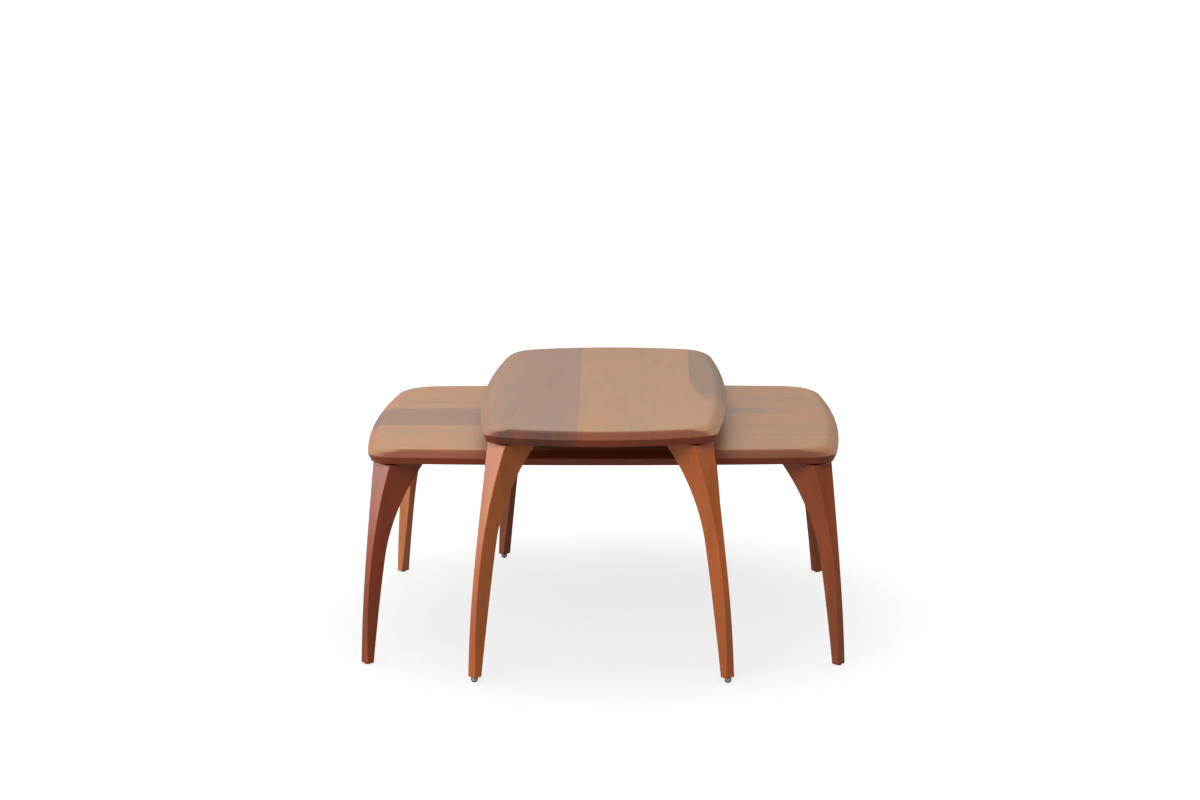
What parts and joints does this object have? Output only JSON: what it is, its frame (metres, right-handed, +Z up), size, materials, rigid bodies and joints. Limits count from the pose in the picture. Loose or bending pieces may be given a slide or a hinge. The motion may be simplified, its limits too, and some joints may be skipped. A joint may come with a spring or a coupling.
{
  "type": "nesting tables",
  "caption": "Pair of solid-wood nesting coffee tables: a tall narrow table on tiny wheels straddles a low wide one, both with bowed chamfered tops and curved splayed legs.",
  "frame": {"origin": "on the floor, under the common centre of both tops", "axes": "+Z up, +X along the lower table's long side and the direction in which the upper table rolls, +Y along the upper table's long side"},
  "size_m": [0.88, 0.8472, 0.455],
  "materials": {
    "top_wood": "satin lacquer, boards of mixed tan and mauve-brown",
    "leg_wood": "satin lacquer, reddish brown",
    "plate_steel": "black coated",
    "bolt_steel": "zinc plated",
    "fork_steel": "satin zinc",
    "hub_plastic": "light grey",
    "tyre_rubber": "black, matt",
    "glide_plastic": "brown"
  },
  "bodies": {
    "lower_table": {"lower_top": "top_wood", "lower_leg_front_left": "leg_wood", "lower_leg_plate_front_left": "plate_steel", "lower_hanger_bolt_front_left": "bolt_steel", "foot_glide_front_left": "glide_plastic", "lower_leg_front_right": "leg_wood", "lower_leg_plate_front_right": "plate_steel", "lower_hanger_bolt_front_right": "bolt_steel", "foot_glide_front_right": "glide_plastic", "lower_leg_rear_left": "leg_wood", "lower_leg_plate_rear_left": "plate_steel", "lower_hanger_bolt_rear_left": "bolt_steel", "foot_glide_rear_left": "glide_plastic", "lower_leg_rear_right": "leg_wood", "lower_leg_plate_rear_right": "plate_steel", "lower_hanger_bolt_rear_right": "bolt_steel", "foot_glide_rear_right": "glide_plastic"},
    "upper_table": {"upper_top": "top_wood", "upper_leg_front_left": "leg_wood", "upper_leg_plate_front_left": "plate_steel", "upper_hanger_bolt_front_left": "bolt_steel", "wheel_fork_front_left": "fork_steel", "wheel_axle_front_left": "bolt_steel", "upper_leg_front_right": "leg_wood", "upper_leg_plate_front_right": "plate_steel", "upper_hanger_bolt_front_right": "bolt_steel", "wheel_fork_front_right": "fork_steel", "wheel_axle_front_right": "bolt_steel", "upper_leg_rear_left": "leg_wood", "upper_leg_plate_rear_left": "plate_steel", "upper_hanger_bolt_rear_left": "bolt_steel", "wheel_fork_rear_left": "fork_steel", "wheel_axle_rear_left": "bolt_steel", "upper_leg_rear_right": "leg_wood", "upper_leg_plate_rear_right": "plate_steel", "upper_hanger_bolt_rear_right": "bolt_steel", "wheel_fork_rear_right": "fork_steel", "wheel_axle_rear_right": "bolt_steel"},
    "wheel_front_left": {"wheel_hub_front_left": "hub_plastic", "wheel_tyre_front_left": "tyre_rubber"},
    "wheel_front_right": {"wheel_hub_front_right": "hub_plastic", "wheel_tyre_front_right": "tyre_rubber"},
    "wheel_rear_left": {"wheel_hub_rear_left": "hub_plastic", "wheel_tyre_rear_left": "tyre_rubber"},
    "wheel_rear_right": {"wheel_hub_rear_right": "hub_plastic", "wheel_tyre_rear_right": "tyre_rubber"}
  },
  "joints": [
    {"name": "upper_table_roll", "type": "slide", "parent": "lower_table", "child": "upper_table", "axis": [1, 0, 0], "range_m": [-0.7, 0.7]},
    {"name": "wheel_spin_front_left", "type": "hinge", "parent": "upper_table", "child": "wheel_front_left", "pos_m": [-0.225, -0.412, 0.006], "axis": [0, 1, 0], "continuous": true},
    {"name": "wheel_spin_front_right", "type": "hinge", "parent": "upper_table", "child": "wheel_front_right", "pos_m": [0.225, -0.412, 0.006], "axis": [0, 1, 0], "continuous": true},
    {"name": "wheel_spin_rear_left", "type": "hinge", "parent": "upper_table", "child": "wheel_rear_left", "pos_m": [-0.225, 0.412, 0.006], "axis": [0, 1, 0], "continuous": true},
    {"name": "wheel_spin_rear_right", "type": "hinge", "parent": "upper_table", "child": "wheel_rear_right", "pos_m": [0.225, 0.412, 0.006], "axis": [0, 1, 0], "continuous": true}
  ],
  "couplings": [
    {"joint": "wheel_spin_front_left", "follows": "upper_table_roll", "rad_per_m": 166.67},
    {"joint": "wheel_spin_front_right", "follows": "upper_table_roll", "rad_per_m": 166.67},
    {"joint": "wheel_spin_rear_left", "follows": "upper_table_roll", "rad_per_m": 166.67},
    {"joint": "wheel_spin_rear_right", "follows": "upper_table_roll", "rad_per_m": 166.67}
  ]
}
